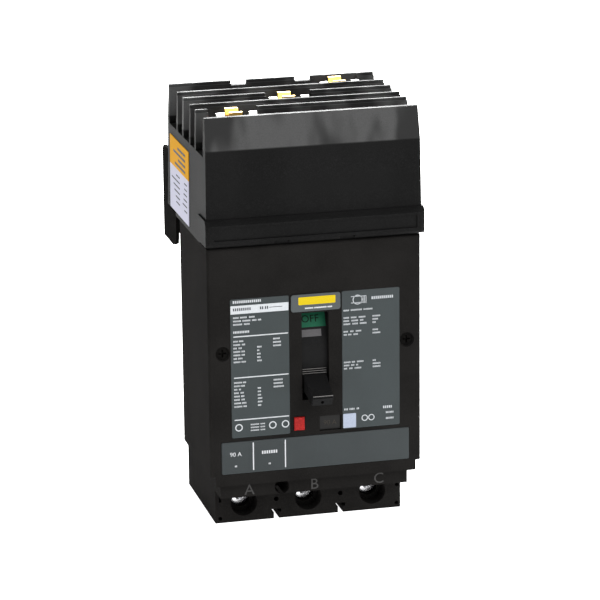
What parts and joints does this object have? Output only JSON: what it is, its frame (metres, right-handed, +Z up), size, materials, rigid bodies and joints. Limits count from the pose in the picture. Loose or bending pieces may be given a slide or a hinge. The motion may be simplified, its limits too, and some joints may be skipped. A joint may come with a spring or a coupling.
{
  "type": "molded case breaker",
  "caption": "Three-pole molded case circuit breaker with toggle, push-to-trip button, screw lugs at the load end and a plug-on bus bar line end.",
  "frame": {"origin": "middle of the bottom of the whole breaker, on the load end it stands on", "axes": "+Z up from the load end to the plug-on line end, +Y to the mounting side, +X across the poles to the right seen from the operating face"},
  "size_m": [0.1156, 0.122, 0.222],
  "materials": {
    "case_black": "fine matte moulded thermoset, faint grain",
    "housing_black": "satin moulded thermoplastic, glossier lead-in",
    "label_grey": "smooth dark grey printed label",
    "strip_grey": "smooth mid grey plate",
    "name_grey": "smooth grey plate with a yellow band",
    "window_dark": "smoky clear window",
    "toggle_black": "moulded nylon, ridged",
    "flag_green": "printed green flag",
    "flag_red": "printed red flag",
    "bar_silver": "printed silver bar",
    "button_red": "moulded red plastic",
    "label_paper": "two-tone self-adhesive label",
    "zinc_steel": "zinc plated sheet steel",
    "bright_zinc": "bright zinc plated, polished",
    "black_steel": "black oxide steel",
    "spring_steel": "drawn spring steel",
    "copper_strap": "rolled copper",
    "silver_plate": "dull silver plate on copper",
    "jaw_brass": "machined brass",
    "contact_silver": "silver alloy",
    "lug_aluminium": "tin plated extruded aluminium",
    "fibre_white": "pressed insulating fibre",
    "crossbar_brown": "moulded thermoset",
    "bimetal_steel": "rolled bimetal"
  },
  "bodies": {
    "case": {"front_cover": "case_black", "base_housing": "case_black", "left_label": "label_grey", "right_label": "label_grey", "name_plate": "name_grey", "rating_window": "window_dark", "rating_strip": "strip_grey", "cover_screws": "black_steel", "case_screws": "zinc_steel", "line_housing_front": "housing_black", "line_housing_rear": "housing_black", "side_label": "label_paper", "rear_bracket": "black_steel", "bracket_screws": "zinc_steel", "jaw_blocks": "jaw_brass", "load_straps": "copper_strap", "jaw_springs": "spring_steel", "fixed_contacts": "contact_silver", "arc_chute_walls": "fibre_white", "bimetals": "bimetal_steel", "magnet_yokes": "zinc_steel", "flexible_braids": "copper_strap", "mechanism_side_frames": "zinc_steel", "trip_button_spring": "spring_steel", "jaw_fingers_a": "silver_plate", "line_strap_a": "copper_strap", "arc_plates_a": "zinc_steel", "load_lug_a": "lug_aluminium", "jaw_fingers_b": "silver_plate", "line_strap_b": "copper_strap", "arc_plates_b": "zinc_steel", "load_lug_b": "lug_aluminium", "jaw_fingers_c": "silver_plate", "line_strap_c": "copper_strap", "arc_plates_c": "zinc_steel", "load_lug_c": "lug_aluminium"},
    "toggle": {"toggle_handle": "toggle_black", "toggle_shutter": "toggle_black", "off_flag": "flag_green", "on_flag": "flag_red", "shutter_bar": "bar_silver", "toggle_yoke": "zinc_steel", "main_springs": "spring_steel"},
    "crossbar": {"crossbar": "crossbar_brown", "moving_contact_blades": "copper_strap", "moving_contact_tips": "contact_silver"},
    "upper_link": {"upper_links": "zinc_steel"},
    "lower_link": {"lower_links": "zinc_steel", "knee_pin": "zinc_steel"},
    "cradle": {"cradle": "zinc_steel"},
    "trip_bar": {"trip_bar": "crossbar_brown"},
    "trip_button": {"trip_button": "button_red"},
    "hold_down": {"hold_down_screw": "black_steel"},
    "armature_a": {"armature_a": "zinc_steel"},
    "wire_screw_a": {"wire_screw_a": "bright_zinc"},
    "armature_b": {"armature_b": "zinc_steel"},
    "wire_screw_b": {"wire_screw_b": "bright_zinc"},
    "armature_c": {"armature_c": "zinc_steel"},
    "wire_screw_c": {"wire_screw_c": "bright_zinc"}
  },
  "joints": [
    {"name": "toggle_swing", "type": "hinge", "parent": "case", "child": "toggle", "pos_m": [0, 0.00065, 0.0938], "axis": [-1, 0, 0], "range_deg": [-2.5, 36]},
    {"name": "contact_swing", "type": "hinge", "parent": "case", "child": "crossbar", "pos_m": [0, 0.01465, 0.086], "axis": [-1, 0, 0], "range_deg": [-3, 31]},
    {"name": "cradle_swing", "type": "hinge", "parent": "case", "child": "cradle", "pos_m": [0, -0.02335, 0.112], "axis": [-1, 0, 0], "range_deg": [0, 8]},
    {"name": "upper_link_swing", "type": "hinge", "parent": "cradle", "child": "upper_link", "pos_m": [0, -0.01134, 0.104], "axis": [-1, 0, 0], "range_deg": [-26, 3]},
    {"name": "lower_link_swing", "type": "hinge", "parent": "crossbar", "child": "lower_link", "pos_m": [0, 0.00776, 0.09179], "axis": [-1, 0, 0], "range_deg": [-25, 3]},
    {"name": "trip_button_press", "type": "slide", "parent": "case", "child": "trip_button", "axis": [0, 1, 0], "range_m": [0, 0.003], "stiffness_N_per_m": 300, "springref_m": -0.0005},
    {"name": "trip_bar_turn", "type": "hinge", "parent": "case", "child": "trip_bar", "pos_m": [0, -0.00534, 0.064], "axis": [1, 0, 0], "range_deg": [0, 17.5]},
    {"name": "hold_down_travel", "type": "slide", "parent": "case", "child": "hold_down", "axis": [0, 1, 0], "range_m": [-0.003, 0.003]},
    {"name": "armature_swing_a", "type": "hinge", "parent": "case", "child": "armature_a", "pos_m": [-0.035, 0.00346, 0.05], "axis": [-1, 0, 0], "range_deg": [0, 6], "stiffness_Nm_per_rad": 0.02, "springref_deg": -2.86},
    {"name": "wire_screw_travel_a", "type": "slide", "parent": "case", "child": "wire_screw_a", "axis": [0, 1, 0], "range_m": [-0.004, 0.009]},
    {"name": "armature_swing_b", "type": "hinge", "parent": "case", "child": "armature_b", "pos_m": [0, 0.00346, 0.05], "axis": [-1, 0, 0], "range_deg": [0, 6], "stiffness_Nm_per_rad": 0.02, "springref_deg": -2.86},
    {"name": "wire_screw_travel_b", "type": "slide", "parent": "case", "child": "wire_screw_b", "axis": [0, 1, 0], "range_m": [-0.004, 0.009]},
    {"name": "armature_swing_c", "type": "hinge", "parent": "case", "child": "armature_c", "pos_m": [0.035, 0.00346, 0.05], "axis": [-1, 0, 0], "range_deg": [0, 6], "stiffness_Nm_per_rad": 0.02, "springref_deg": -2.86},
    {"name": "wire_screw_travel_c", "type": "slide", "parent": "case", "child": "wire_screw_c", "axis": [0, 1, 0], "range_m": [-0.004, 0.009]}
  ],
  "couplings": [
    {"joint": "contact_swing", "follows": "toggle_swing", "ratio": 0.83333},
    {"joint": "upper_link_swing", "follows": "toggle_swing", "ratio": -0.697},
    {"joint": "lower_link_swing", "follows": "toggle_swing", "ratio": -0.661},
    {"joint": "trip_bar_turn", "follows": "trip_button_press", "rad_per_m": 100}
  ]
}
